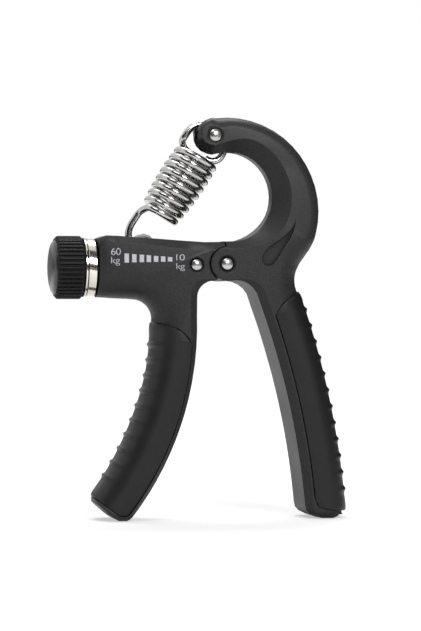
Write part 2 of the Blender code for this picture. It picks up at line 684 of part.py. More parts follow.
collar_in = HOUSING_END - GAP
collar_out = collar_in - COLLAR_LONG
screw_bush = tube_profile(SCREW_R + GAP, BUSH_R, collar_out + 0.4, TROUGH_LEFT - 0.1)
turned("screw_bush", screw_bush, (0.0, SCREW_Z), True, origin=(HOUSING_END, SCREW_Z), kind="brass")
flange_in = collar_out + COLLAR_FLANGE
flange_r = COLLAR_R + COLLAR_FLANGE_OUT
neck_r = COLLAR_R - COLLAR_FLANGE_OUT
collar = [(BUSH_R + GAP, collar_in), (COLLAR_R - 0.7, collar_in), (COLLAR_R, collar_in - 0.7),
          (COLLAR_R, flange_in + 0.5), (neck_r, flange_in + 0.15), (neck_r, flange_in), (flange_r, flange_in),
          (flange_r, collar_out + 0.1), (flange_r - 0.1, collar_out), (BUSH_R + GAP, collar_out)]
turned("collar", collar, (0.0, SCREW_Z), True, 40, origin=(HOUSING_END, SCREW_Z), kind="nickel")

bearing_right = TROUGH_RIGHT - GAP
bearing_left = bearing_right - BEARING_LONG
bearing = trough_bar("inner_bearing", TROUGH_HALF - GAP, TROUGH_STEP_Z - 0.4, bearing_left, bearing_right,
                     origin=(bearing_left, SCREW_Z), kind="brass")
boolean(bearing, cylinder("cut_bearing_bore", (0.0, SCREW_Z), SCREW_R + GAP, bearing_left - 1.0,
                          bearing_right + 1.0, True), "DIFFERENCE")

# Knob and lead screw

knob_in = collar_out - GAP
knob_out = knob_in - KNOB_LONG
rim = []
for k in range(KNOB_FLUTES):
    for part, sink in ((0.0, 0.0), (0.34, 0.0), (0.54, 0.9), (0.80, 0.9)):
        rim.append((2.0 * math.pi * (k + part) / KNOB_FLUTES, sink))
points, faces = [], []
rows = [(knob_in, KNOB_CHAMFER, 0.2), (knob_in - KNOB_CHAMFER, 0.0, 1.0), (knob_out + KNOB_CHAMFER, 0.0, 1.0),
        (knob_out, KNOB_CHAMFER, 0.2)]
for x, inset, share in rows:
    for turn, sink in rim:
        radius = KNOB_R - inset - FLUTE_DEPTH * sink * share
        points.append((x, radius * math.cos(turn), SCREW_Z + radius * math.sin(turn)))
count = len(rim)
for i in range(len(rows) - 1):
    for j in range(count):
        k = (j + 1) % count
        faces.append((i * count + j, i * count + k, (i + 1) * count + k, (i + 1) * count + j))
faces += [tuple(range(count)), tuple(range(len(points) - count, len(points)))]
knob = add("knob", points, faces, (HOUSING_END, SCREW_Z), "knob_plastic", screw_axis)
washer_out = knob_in - WASHER_LONG
screw_end = knob_out + 2.0
boolean(knob, cylinder("cut_knob_washer", (0.0, SCREW_Z), WASHER_R + GAP, washer_out - GAP, knob_in + 2.0,
                       True), "DIFFERENCE")
boolean(knob, cylinder("cut_knob_bore", (0.0, SCREW_Z), SCREW_R + GAP, screw_end - GAP, knob_in + 2.0,
                       True), "DIFFERENCE")
boolean(knob, cylinder("cut_cap_seat", (0.0, SCREW_Z), CAP_R + GAP, knob_out - 2.0, knob_out + CAP_SEAT,
                       True, 36), "DIFFERENCE")
cap_in = knob_out + CAP_SEAT - GAP
dome = [(0.0, cap_in), (CAP_R, cap_in), (CAP_R, knob_out)]
for k in range(1, 6):
    turn = math.pi / 2 * k / 6
    dome.append((CAP_R * math.cos(turn) ** 0.9, knob_out - CAP_HIGH * math.sin(turn)))
dome.append((0.0, knob_out - CAP_HIGH))
turned("knob_cap", dome, (0.0, SCREW_Z), True, 36, origin=(HOUSING_END, SCREW_Z), kind="cap_plastic",
       parent=screw_axis)
washer = tube_profile(SCREW_R + GAP, WASHER_R, knob_in - 0.02, washer_out)
turned("thrust_washer", washer, (0.0, SCREW_Z), True, origin=(HOUSING_END, SCREW_Z), kind="steel",
       parent=screw_axis)
screw_tip = bearing_right - 0.6
screw = [(0.0, screw_end), (SCREW_R - 0.5, screw_end), (SCREW_R, screw_end + 0.5), (SCREW_R, screw_tip - 0.5),
         (SCREW_R - 0.5, screw_tip), (0.0, screw_tip)]
turned("lead_screw", screw, (0.0, SCREW_Z), True, origin=(HOUSING_END, SCREW_Z), kind="steel",
       parent=screw_axis)
ring_left = TROUGH_LEFT + GAP
ring = tube_profile(SCREW_R + GAP, RING_R, ring_left, ring_left + RING_LONG)
turned("retaining_ring", ring, (0.0, SCREW_Z), True, origin=(HOUSING_END, SCREW_Z), kind="steel",
       parent=screw_axis)

# Slider

nut_half = TROUGH_HALF - GAP
nut_low = SLIDER[0] - NUT_LONG / 2
nut_high = SLIDER[0] + NUT_LONG / 2
shoulder = GROOVE_FLOOR + SHOULDER_HIGH
outline = [(nut_low, SCREW_Z - nut_half), (nut_high, SCREW_Z - nut_half), (nut_high, shoulder)]
outline += [polar(SLIDER, EAR_R, a) for a in np.linspace(-12.0, 192.0, 17)]
outline += [(nut_low, shoulder)]
nut = prism("slider_nut", outline, -nut_half, nut_half, origin=SLIDER, kind="steel", parent=slider_axis)
ear_top = SLIDER[1] + EAR_R + PAST
boolean(nut, trough_bar("cut_nut_keel", nut_half, ear_top, nut_low - PAST, nut_high + PAST), "INTERSECT")
boolean(nut, box("cut_nut_groove", (nut_low - PAST, -EAR_GROOVE_HALF, GROOVE_FLOOR),
                 (nut_high + PAST, EAR_GROOVE_HALF, ear_top)), "DIFFERENCE")
boolean(nut, cylinder("cut_nut_thread", (0.0, SCREW_Z), SCREW_R + GAP, nut_low - PAST, nut_high + PAST, True),
        "DIFFERENCE")
boolean(nut, cylinder("cut_nut_pin", SLIDER, PIN_R + GAP, -reach, reach), "DIFFERENCE")
pin_end = nut_half - 0.1
pin = [(0.0, -pin_end), (PIN_R - 0.3, -pin_end), (PIN_R, -pin_end + 0.3), (PIN_R, pin_end - 0.3),
       (PIN_R - 0.3, pin_end), (0.0, pin_end)]
turned("slider_pin", pin, SLIDER, origin=SLIDER, kind="chrome", parent=slider_axis)

# Spring arm

arm_r = loft("spring_arm", spring_arm_stations(), kind="casting", parent=hinge)
boolean(arm_r, seat_cutter("cut_spring_grip", spring_grip_stations(False)), "DIFFERENCE")
boolean(arm_r, core("add_spring_core", spring_grip_stations(False), 0.0, 3.0), "UNION")
slot = TONGUE_HALF + GAP
boolean(arm_r, cylinder("cut_hub_slot", (0.0, 0.0), CHEEK_R + GAP, -slot, slot, sides=40), "DIFFERENCE")
boolean(arm_r, cylinder("cut_pivot_bore", (0.0, 0.0), PIVOT_SHANK + GAP, -reach, reach), "DIFFERENCE")
boolean(arm_r, box("cut_fork", (TIP[0] - TIP_R - PAST, -FORK_HALF, C_INNER[1] + C_INNER_R / 2.0),
                   (TIP[0] + FORK_LONG, FORK_HALF, TIP[1] + TIP_R + PAST)), "DIFFERENCE")
boolean(arm_r, cylinder("cut_tip_bore", TIP, TIP_PIN_SHANK + GAP, -reach, reach), "DIFFERENCE")
recess = [polar(C_INNER, C_INNER_R + out, turn) for out, turn in RECESS]
for side in (-1.0, 1.0):
    low, high = sorted((side * (HALF - RECESS_DEPTH), side * (HALF + PAST)))
    boolean(arm_r, prism("cut_recess%d" % side, recess, low, high), "DIFFERENCE")
countersink(arm_r, "cut_pivot_sink", (0.0, 0.0), HALF, PIVOT_SHANK + GAP + 0.2, SINK_R)
countersink(arm_r, "cut_tip_sink", TIP, TIP_HALF, TIP_PIN_SHANK + GAP + 0.2, TIP_HEAD + 0.9)
grip_r = loft("spring_arm_grip", spring_grip_stations(), RIB_STEPS, 1, kind="rubber", parent=hinge)
boolean(grip_r, core("cut_spring_core", spring_grip_stations(False), GAP, 3.0), "DIFFERENCE")
turned("pivot_rivet", rivet_profile(PIVOT_SHANK, PIVOT_HEAD, HALF), (0.0, 0.0), kind="chrome", parent=hinge)

# Tip pin, its bush and the spring

turned("tip_pin", rivet_profile(TIP_PIN_SHANK, TIP_HEAD, TIP_HALF), TIP, origin=TIP, kind="chrome",
       parent=hook_axis)
tip_bush = tube_profile(TIP_PIN_SHANK + GAP, TIP_BUSH_R, GAP - FORK_HALF, FORK_HALF - GAP)
turned("tip_bush", tip_bush, TIP, origin=TIP, kind="steel", parent=hook_axis)

up = unit(TIP - SLIDER)
right = np.array((up[1], -up[0]))


def spring_point(across, y, rise):
    """Point of the spring, by its distance across the axis and up it from the lower pin."""
    spot = SLIDER + right * across + up * rise
    return np.array((spot[0], y, spot[1]))


def hermite(p, q, tangent_p, tangent_q, count):
    """Smooth bend between two points, without its ends."""
    made = []
    for k in range(1, count):
        t = k / count
        made.append((2 * t ** 3 - 3 * t ** 2 + 1) * p + (t ** 3 - 2 * t ** 2 + t) * tangent_p
                    + (3 * t ** 2 - 2 * t ** 3) * q + (t ** 3 - t ** 2) * tangent_q)
    return made


def helix(turn):
    """Point and heading of the coil after so many degrees from its left side."""
    angle = math.radians(180.0 + turn)
    rise = COIL_START + COIL_PITCH * turn / 360.0
    spot = spring_point(COIL_R * math.cos(angle), COIL_R * math.sin(angle), rise)
    heading = (spring_point(-COIL_R * math.sin(angle), COIL_R * math.cos(angle), COIL_PITCH / (2 * math.pi))
               - spring_point(0.0, 0.0, 0.0))
    return spot, heading / np.linalg.norm(heading)


low_centre = LOW_HOOK_R - WIRE_R - PIN_R - GAP
top_centre = SPRING_LONG - (TOP_HOOK_R - WIRE_R - TIP_BUSH_R - GAP)
coil_end = COIL_START + COIL_TURNS * COIL_PITCH
axis_up = spring_point(0.0, 0.0, 1.0) - spring_point(0.0, 0.0, 0.0)
wire = [spring_point(LOW_HOOK_R, 0.0, COIL_START - 2.6)]
for turn in np.linspace(0.0, -180.0, 13):
    angle = math.radians(turn)
    wire.append(spring_point(LOW_HOOK_R * math.cos(angle), 0.0, low_centre + LOW_HOOK_R * math.sin(angle)))
leave = spring_point(-LOW_HOOK_R, 0.0, COIL_START - 4.0)
wire[-1] = leave
join, heading = helix(45.0)
wire += hermite(leave, join, axis_up * 5.5, heading * 5.5, 6)
per_turn = 10
for k in range(int((COIL_TURNS * 360.0 - 90.0) / (360.0 / per_turn)) + 1):
    wire.append(helix(45.0 + 360.0 / per_turn * k)[0])
join, heading = helix(COIL_TURNS * 360.0 - 45.0)
wire[-1] = join
reach = spring_point(-TOP_HOOK_R, 0.0, coil_end + 2.3)
wire += hermite(join, reach, heading * 5.5, axis_up * 5.5, 6)
wire.append(reach)
for turn in np.linspace(180.0, 0.0, 13):
    angle = math.radians(turn)
    wire.append(spring_point(TOP_HOOK_R * math.cos(angle), 0.0, top_centre + TOP_HOOK_R * math.sin(angle)))
wire.append(spring_point(TOP_HOOK_R, 0.0, coil_end + 1.6))

track = np.array(wire)
steps = np.linalg.norm(np.diff(track, axis=0), axis=1)
marks = np.concatenate(([0.0], np.cumsum(steps)))
fine_at = np.arange(0.0, marks[-1], 0.5)
fine = np.stack([np.interp(fine_at, marks, track[:, k]) for k in range(3)], axis=1)
apart = np.linalg.norm(fine[:, None, :] - fine[None, :, :], axis=2)
apart[np.abs(fine_at[:, None] - fine_at[None, :]) < 3.5 * WIRE_R * 2] = 1e3
print("spring: least gap of the wire to itself %.2f mm" % (apart.min() - 2 * WIRE_R))

curve = bpy.data.curves.new("spring", "CURVE")
curve.dimensions = "3D"
curve.bevel_depth = WIRE_R * MM
curve.bevel_resolution = 1
curve.use_fill_caps = True
line = curve.splines.new("POLY")
line.points.add(len(wire) - 1)
for point, spot in zip(line.points, wire):
    point.co = ((spot[0] - TIP[0]) * MM, spot[1] * MM, (spot[2] - TIP[1]) * MM, 1.0)
curve.materials.append(material("spring", "chrome"))
spring = bpy.data.objects.new("spring", curve)
spring.location = ((PIVOT_X + TIP[0]) * MM, 0.0, (PIVOT_Z + TIP[1]) * MM)
bpy.context.collection.objects.link(spring)
attach(spring, hook_axis)
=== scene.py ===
"""Adjustable hand gripper: its finishes, grips, spring wire, screw thread, print and studio.

Places on the object are written in millimetres from the pivot, as in the part's source, and
place() turns them into metres of the shared frame.
"""
import math

import bmesh
import bpy
import numpy as np
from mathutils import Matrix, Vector


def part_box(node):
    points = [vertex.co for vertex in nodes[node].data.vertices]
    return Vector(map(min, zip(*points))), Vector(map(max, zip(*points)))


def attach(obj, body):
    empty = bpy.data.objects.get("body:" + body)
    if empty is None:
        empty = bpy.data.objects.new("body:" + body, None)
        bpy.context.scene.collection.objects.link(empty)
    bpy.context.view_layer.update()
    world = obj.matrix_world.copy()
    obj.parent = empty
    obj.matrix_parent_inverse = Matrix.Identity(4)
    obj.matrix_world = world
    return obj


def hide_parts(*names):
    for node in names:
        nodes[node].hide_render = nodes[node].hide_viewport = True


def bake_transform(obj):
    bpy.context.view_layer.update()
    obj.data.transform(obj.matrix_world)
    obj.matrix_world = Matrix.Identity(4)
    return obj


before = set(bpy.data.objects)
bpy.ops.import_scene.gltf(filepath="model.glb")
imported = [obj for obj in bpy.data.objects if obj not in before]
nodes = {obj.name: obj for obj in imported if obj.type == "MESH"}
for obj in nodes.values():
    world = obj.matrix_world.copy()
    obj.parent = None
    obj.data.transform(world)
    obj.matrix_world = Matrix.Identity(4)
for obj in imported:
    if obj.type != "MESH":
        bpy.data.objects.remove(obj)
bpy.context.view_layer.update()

MM = 0.001
PIVOT = np.array((9.17, 0.0, 98.8))
TIP = np.array((-3.8, 50.0))
SLIDER = np.array((-31.4, 8.3))


def place(x, y, z):
    """Point measured from the pivot in millimetres, as a place in metres."""
    return Vector(((PIVOT[0] + x) * MM, (PIVOT[1] + y) * MM, (PIVOT[2] + z) * MM))


# Node helpers

def link(tree, source, target):
    tree.links.new(source, target)


def node(tree, kind, **values):
    """New shader node; values set inputs by name, and properties by name."""
    made = tree.nodes.new(kind)
    for key, value in values.items():
        if key in made.inputs:
            made.inputs[key].default_value = value
        else:
            setattr(made, key, value)
    return made


def ramp(tree, factor, stops):
    """Colour ramp from (place, grey or colour) stops."""
    made = tree.nodes.new("ShaderNodeValToRGB")
    while len(made.color_ramp.elements) < len(stops):
        made.color_ramp.elements.new(1.0)
    for element, (spot, colour) in zip(made.color_ramp.elements, stops):
        element.position = spot
        shade = (colour,) * 3 if isinstance(colour, float) else colour
        element.color = (*shade, 1.0)
    link(tree, factor, made.inputs[0])
    return made.outputs[0]


def math_node(tree, operation, a, b):
    """Math node on two sockets or numbers."""
    made = tree.nodes.new("ShaderNodeMath")
    made.operation = operation
    for slot, value in zip(made.inputs, (a, b)):
        if isinstance(value, (int, float)):
            slot.default_value = value
        else:
            link(tree, value, slot)
    return made.outputs[0]


def plus(tree, a, b):
    return math_node(tree, "ADD", a, b)


def minus(tree, a, b):
    return math_node(tree, "SUBTRACT", a, b)


def times(tree, a, b):
    return math_node(tree, "MULTIPLY", a, b)


def object_place(tree):
    """Place on the piece, which stays with it at every pose."""
    return node(tree, "ShaderNodeTexCoord").outputs["Object"]


def noise(tree, spot, **values):
    """Noise texture over a place."""
    made = node(tree, "ShaderNodeTexNoise", **values)
    link(tree, spot, made.inputs["Vector"])
    return made


def seen_rays(tree):
    """1 for what the camera, gloss or glass sees, 0 for what only lights the object."""
    path = tree.nodes.new("ShaderNodeLightPath")
    shine = math_node(tree, "MAXIMUM", path.outputs["Is Glossy Ray"],
                      path.outputs["Is Transmission Ray"])
    return math_node(tree, "MAXIMUM", path.outputs["Is Camera Ray"], shine)


def group(name, ins, outs):
    """Empty node group with its sockets; returns it with its input and output nodes."""
    tree = bpy.data.node_groups.new(name, "ShaderNodeTree")
    for label, kind, value in ins:
        made = tree.interface.new_socket(name=label, in_out="INPUT", socket_type=kind)
        if value is not None:
            made.default_value = value
    for label, kind in outs:
        tree.interface.new_socket(name=label, in_out="OUTPUT", socket_type=kind)
    return tree, tree.nodes.new("NodeGroupInput"), tree.nodes.new("NodeGroupOutput")


def new_material(name):
    """Material with its node tree and its Principled shader."""
    mat = bpy.data.materials.new(name)
    mat.use_nodes = True
    return mat, mat.node_tree, mat.node_tree.nodes["Principled BSDF"]


# Moulded surface: what all the painted, moulded, rubber and turned pieces share, painted shade
# in their corners included

CLOUD_SCALE = 60.0
CLOUD_LOW, CLOUD_SWING = 0.88, 0.24
CLOUD_ROUGHNESS = 0.14
SPECKLE_GAIN = 2.0
GRAIN_DEPTH = 0.00003
WEAR_RADIUS = 0.0005
WEAR_STOPS = [(0.90, 1.0), (0.99, 0.0)]
WEAR_SHARE = 0.9
WEAR_POLISH = 0.12
# Painted shade: occlusion darkens corners, creases and recesses; its reach, ramp stops, added
# roughness and samples
PAINTED_SHADE_REACH = 0.0045
PAINTED_SHADE_STOPS = [(0.45, 0.25), (0.95, 1.0)]
PAINTED_SHADE_ROUGHNESS = 0.25
BEVEL_SAMPLES = 6
PAINTED_SHADE_SAMPLES = 8


def surface_group():
    """Fine grain, clouds of shade, worn edges, and painted shade that dims corners and
    creases.
    """
    tree, start, end = group(
        "moulded_surface_and_painted_shade",
        [("Color", "NodeSocketColor", (0.05, 0.05, 0.05, 1.0)),
         ("Edge Color", "NodeSocketColor", (0.1, 0.1, 0.1, 1.0)),
         ("Roughness", "NodeSocketFloat", 0.45),
         ("Grain Scale", "NodeSocketFloat", 3000.0),
         ("Grain", "NodeSocketFloat", 0.2),
         ("Edge Radius", "NodeSocketFloat", 0.0003)],
        [("Color", "NodeSocketColor"), ("Roughness", "NodeSocketFloat"),
         ("Normal", "NodeSocketVector")])
    spot = object_place(tree)
    clouds = noise(tree, spot, Scale=CLOUD_SCALE, Detail=3.0, Roughness=0.6).outputs[0]
    fine = noise(tree, spot, Detail=2.0, Roughness=0.7)
    link(tree, start.outputs["Grain Scale"], fine.inputs["Scale"])
    grain = fine.outputs[0]

    # Where the wide rounding leaves the flat face, the edge is worn
    wide = node(tree, "ShaderNodeBevel", samples=BEVEL_SAMPLES, Radius=WEAR_RADIUS)
    flat = node(tree, "ShaderNodeNewGeometry")
    likeness = node(tree, "ShaderNodeVectorMath", operation="DOT_PRODUCT")
    link(tree, wide.outputs[0], likeness.inputs[0])
    link(tree, flat.outputs["Normal"], likeness.inputs[1])
    edge = ramp(tree, likeness.outputs["Value"], WEAR_STOPS)
    worn = times(tree, edge, times(tree, clouds, WEAR_SHARE))
    tint = node(tree, "ShaderNodeMix", data_type="RGBA")
    link(tree, worn, tint.inputs["Factor"])
    link(tree, start.outputs["Color"], tint.inputs[6])
    link(tree, start.outputs["Edge Color"], tint.inputs[7])

    # Painted shade: occlusion darkens the colour in corners, creases and recesses, and makes
    # them rougher
    corner = node(tree, "ShaderNodeAmbientOcclusion", samples=PAINTED_SHADE_SAMPLES,
                  Distance=PAINTED_SHADE_REACH)
    painted_shade_factor = ramp(tree, corner.outputs["AO"], PAINTED_SHADE_STOPS)

    cloudy = plus(tree, times(tree, clouds, CLOUD_SWING), CLOUD_LOW)
    speckle = times(tree, minus(tree, grain, 0.5), start.outputs["Grain"])
    value = times(tree, plus(tree, cloudy, times(tree, speckle, SPECKLE_GAIN)), painted_shade_factor)
    shade = node(tree, "ShaderNodeHueSaturation")
    link(tree, value, shade.inputs["Value"])
    link(tree, tint.outputs[2], shade.inputs["Color"])
    link(tree, shade.outputs[0], end.inputs["Color"])

    rough = plus(tree, start.outputs["Roughness"],
                 times(tree, minus(tree, clouds, 0.5), CLOUD_ROUGHNESS))
    rough = minus(tree, rough, times(tree, worn, WEAR_POLISH))
    rough = plus(tree, rough, times(tree, minus(tree, 1.0, painted_shade_factor), PAINTED_SHADE_ROUGHNESS))
    link(tree, rough, end.inputs["Roughness"])

    round_edge = node(tree, "ShaderNodeBevel", samples=BEVEL_SAMPLES)
    link(tree, start.outputs["Edge Radius"], round_edge.inputs["Radius"])
    bump = node(tree, "ShaderNodeBump", Distance=GRAIN_DEPTH)
    link(tree, start.outputs["Grain"], bump.inputs["Strength"])
    link(tree, grain, bump.inputs["Height"])
    link(tree, round_edge.outputs[0], bump.inputs["Normal"])
    link(tree, bump.outputs[0], end.inputs["Normal"])
    return tree


SURFACE = surface_group()


def surface(name, colour, edge, rough, grain_scale, grain, metal=0.0, radius=0.0003,
            specular=0.5):
    """Principled material through the moulded surface group."""
    mat, tree, shader = new_material(name)
    made = tree.nodes.new("ShaderNodeGroup")
    made.node_tree = SURFACE
    values = {"Color": (*colour, 1.0), "Edge Color": (*edge, 1.0), "Roughness": rough,
              "Grain Scale": grain_scale, "Grain": grain, "Edge Radius": radius}
    for key, value in values.items():
        made.inputs[key].default_value = value
    link(tree, made.outputs["Color"], shader.inputs["Base Color"])
    link(tree, made.outputs["Roughness"], shader.inputs["Roughness"])
    link(tree, made.outputs["Normal"], shader.inputs["Normal"])
    shader.inputs["Metallic"].default_value = metal
    shader.inputs["Specular IOR Level"].default_value = specular
    return mat


# Turned metal: the rings that a lathe leaves

RING_SCALE, SMEAR_SCALE = 9000.0, 90.0
RING_STRENGTH = 0.25
RING_DEPTH = 0.00001
ALONG_X, ALONG_Y = 0, 1


def rings_group():
    """Fine rings round an axis, over the normal that comes in."""
    tree, start, end = group(
        "turned_rings",
        [("Scale", "NodeSocketVector", (SMEAR_SCALE, SMEAR_SCALE, SMEAR_SCALE)),
         ("Strength", "NodeSocketFloat", RING_STRENGTH),
         ("Normal", "NodeSocketVector", None)],
        [("Normal", "NodeSocketVector")])
    squeeze = node(tree, "ShaderNodeMapping")
    link(tree, object_place(tree), squeeze.inputs["Vector"])
    link(tree, start.outputs["Scale"], squeeze.inputs["Scale"])
    lines = noise(tree, squeeze.outputs[0], Scale=1.0, Detail=1.0)
    bump = node(tree, "ShaderNodeBump", Distance=RING_DEPTH)
    link(tree, start.outputs["Strength"], bump.inputs["Strength"])
    link(tree, lines.outputs[0], bump.inputs["Height"])
    link(tree, start.outputs["Normal"], bump.inputs["Normal"])
    link(tree, bump.outputs[0], end.inputs["Normal"])
    return tree


RINGS = rings_group()


def turned(name, colour, rough, axis):
    """Turned metal: fine rings round an axis of the frame, with a little smudging."""
    bright = tuple(min(1.0, c * 1.1) for c in colour)
    mat = surface(name, colour, bright, rough, grain_scale=5000.0, grain=0.05, metal=1.0,
                  radius=0.00015)
    tree = mat.node_tree
    moulded = next(n for n in tree.nodes if n.type == "GROUP")
    rings = tree.nodes.new("ShaderNodeGroup")
    rings.node_tree = RINGS
    rings.inputs["Scale"].default_value = [RING_SCALE if k == axis else SMEAR_SCALE
                                           for k in range(3)]
    rings.inputs["Strength"].default_value = RING_STRENGTH
    link(tree, moulded.outputs["Normal"], rings.inputs["Normal"])
    link(tree, rings.outputs["Normal"], tree.nodes["Principled BSDF"].inputs["Normal"])
    return mat


# Bright plating of the spring wire

PLATE_CLOUDS, PLATE_MARKS = 220.0, 1500.0
PLATE_DULL = 0.86
PLATE_HAZE = 0.08
MARK_STRENGTH, MARK_DEPTH = 0.04, 0.00001


def plated(name, colour, rough):
    """Bright plating: faint clouds in its shade and polish, and very fine draw marks."""
    mat, tree, shader = new_material(name)
    shader.inputs["Metallic"].default_value = 1.0
    spot = object_place(tree)
    clouds = noise(tree, spot, Scale=PLATE_CLOUDS, Detail=3.0).outputs[0]
    dull = tuple(c * PLATE_DULL for c in colour)
    link(tree, ramp(tree, clouds, [(0.3, dull), (0.7, colour)]), shader.inputs["Base Color"])
    haze = plus(tree, times(tree, clouds, PLATE_HAZE), rough - PLATE_HAZE / 2)
    link(tree, haze, shader.inputs["Roughness"])
    marks = noise(tree, spot, Scale=PLATE_MARKS, Detail=1.0)
    bump = node(tree, "ShaderNodeBump", Strength=MARK_STRENGTH, Distance=MARK_DEPTH)
    link(tree, marks.outputs[0], bump.inputs["Height"])
    link(tree, bump.outputs[0], shader.inputs["Normal"])
    return mat


CASTING = surface("satin_black_paint", (0.033, 0.033, 0.034), edge=(0.050, 0.050, 0.052),
                  rough=0.43, grain_scale=2200.0, grain=0.80, specular=0.22)
RUBBER = surface("soft_black_rubber", (0.015, 0.015, 0.015), edge=(0.030, 0.030, 0.030),
                 rough=0.40, grain_scale=2800.0, grain=0.60, specular=0.30)
KNOB = surface("knob_black", (0.018, 0.018, 0.019), edge=(0.034, 0.034, 0.035),
               rough=0.50, grain_scale=3200.0, grain=0.25, radius=0.00025, specular=0.15)
CAP = surface("cap_black", (0.012, 0.012, 0.013), edge=(0.03, 0.03, 0.03),
              rough=0.27, grain_scale=3200.0, grain=0.15, specular=0.85)
CHROME = plated("chrome_wire", (0.54, 0.535, 0.53), rough=0.20)
RIVET = turned("rivet_chrome", (0.52, 0.52, 0.51), 0.28, ALONG_Y)
COLLAR = turned("collar_metal", (0.75, 0.71, 0.635), 0.15, ALONG_X)
STEEL = turned("screw_steel", (0.58, 0.58, 0.60), 0.30, ALONG_X)
BRASS = turned("bush_brass", (0.72, 0.52, 0.26), 0.30, ALONG_X)
PRINT = surface("scale_print", (0.62, 0.62, 0.66), edge=(0.62, 0.62, 0.66),
                rough=0.55, grain_scale=3000.0, grain=0.2)

LOOKS = {
    "adjuster_arm": CASTING, "spring_arm": CASTING,
    "collar": COLLAR, "screw_bush": BRASS, "inner_bearing": BRASS, "pivot_bush": BRASS,
    "frame_rivet": RIVET, "pivot_rivet": RIVET, "tip_pin": RIVET, "slider_pin": RIVET,
    "knob": KNOB, "knob_cap": CAP, "thrust_washer": STEEL, "retaining_ring": STEEL,
    "slider_nut": STEEL, "tip_bush": STEEL,
}

# Shading of the CAD pieces that stay: smooth over their rounded faces, sharp at their edges

MERGE_WITHIN = 0.000002
SHARP_FROM = 33.0


def smooth_group():
    """Joins split corners and shades smooth except over sharp edges."""
    tree = bpy.data.node_groups.new("smooth_by_angle", "GeometryNodeTree")
    for side in ("INPUT", "OUTPUT"):
        tree.interface.new_socket(name="Geometry", in_out=side,
                                  socket_type="NodeSocketGeometry")
    start, end = tree.nodes.new("NodeGroupInput"), tree.nodes.new("NodeGroupOutput")
    merge = node(tree, "GeometryNodeMergeByDistance", Distance=MERGE_WITHIN)
    angle = tree.nodes.new("GeometryNodeInputMeshEdgeAngle")
    sharp = node(tree, "FunctionNodeCompare", data_type="FLOAT", operation="GREATER_THAN")
    sharp.inputs[1].default_value = math.radians(SHARP_FROM)
    link(tree, angle.outputs[0], sharp.inputs[0])
    faces = node(tree, "GeometryNodeSetShadeSmooth", domain="FACE")
    edges = node(tree, "GeometryNodeSetShadeSmooth", domain="EDGE")
    edges.inputs["Shade Smooth"].default_value = False
    link(tree, start.outputs[0], merge.inputs["Geometry"])
    link(tree, merge.outputs[0], faces.inputs["Geometry"])
    link(tree, faces.outputs[0], edges.inputs["Geometry"])
    link(tree, sharp.outputs[0], edges.inputs["Selection"])
    link(tree, edges.outputs[0], end.inputs[0])
    return tree


SMOOTH = smooth_group()
for name, look in LOOKS.items():
    thing = nodes[name]
    thing.data.materials.clear()
    thing.data.materials.append(look)
    step = thing.modifiers.new("smooth_by_angle", "NODES")
    step.node_group = SMOOTH
    weigh = thing.modifiers.new("weighted_normals", "WEIGHTED_NORMAL")
    weigh.keep_sharp = True
    weigh.weight = 100


# Mesh helpers

def mesh_piece(name, points, faces, look, body, sharp=40.0):
    """Mesh in the shared frame, in metres, that rides on a body."""
    mesh = bpy.data.meshes.new(name)
    work = bmesh.new()
    corners = [work.verts.new(p) for p in points]
    for face in faces:
        work.faces.new([corners[i] for i in face])
    bmesh.ops.recalc_face_normals(work, faces=work.faces)
    work.to_mesh(mesh)
    work.free()
    mesh.materials.append(look)
    mesh.shade_smooth()
    mesh.set_sharp_from_angle(angle=math.radians(sharp))
    thing = bpy.data.objects.new(name, mesh)
    bpy.context.collection.objects.link(thing)
    if body:
        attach(thing, body)
    return thing


def closed_skin(rings, sides):
    """Faces over a row of rings of so many points each, with a face at both ends."""
    faces = [tuple(range(sides)), tuple(range((rings - 1) * sides, rings * sides))]
    for i in range(rings - 1):
        for j in range(sides):
            k = (j + 1) % sides
            faces.append((i * sides + j, i * sides + k, (i + 1) * sides + k,
                          (i + 1) * sides + j))
    return faces


# Rubber grips: a rounded outer side with narrow ribs, and a flat front and back

GRIP_HALF = 12.0
GRIP_DEEP = 11.0
GRIP_SHARP = 38.0
ROUND_STEPS = 14
RIB_STEPS = 12
RIB_HIGH = 0.85
RIB_WIDE = 0.13
RIB_REACH = 0.62
# Rounded rim along the seam: millimetres in from the seam and down from the front face
SEAM_RIM = ((0.45, 0.0), (0.13, 0.12), (0.0, 0.4))


def on_circle(centre, radius, degrees):
    """Point of the XZ plane on a circle, measured from the pivot."""
    angle = math.radians(degrees)
    return np.array((centre[0] + radius * math.cos(angle),
                     centre[1] + radius * math.sin(angle)))


def grip_ring(outer, inner, rounding, rib=0.0):
    """Section of a grip, from its outer side over the front to the seam, and back."""
    chord = (inner - outer) / np.linalg.norm(inner - outer)
    side = []
    for k in range(ROUND_STEPS + 1):
        turn = math.pi / 2 * k / ROUND_STEPS
        fade = max(0.0, 1.0 - (k / ROUND_STEPS / RIB_REACH) ** 2)
        spot = outer + chord * (rounding * (1.0 - math.cos(turn)) - rib * fade)
        side.append((spot, GRIP_HALF - GRIP_DEEP * (1.0 - math.sin(turn))))
    for inset, drop in SEAM_RIM:
        side.append((inner - chord * inset, GRIP_HALF - drop))
    return [(p[0], -y, p[1]) for p, y in side] + [(p[0], y, p[1]) for p, y in reversed(side)]


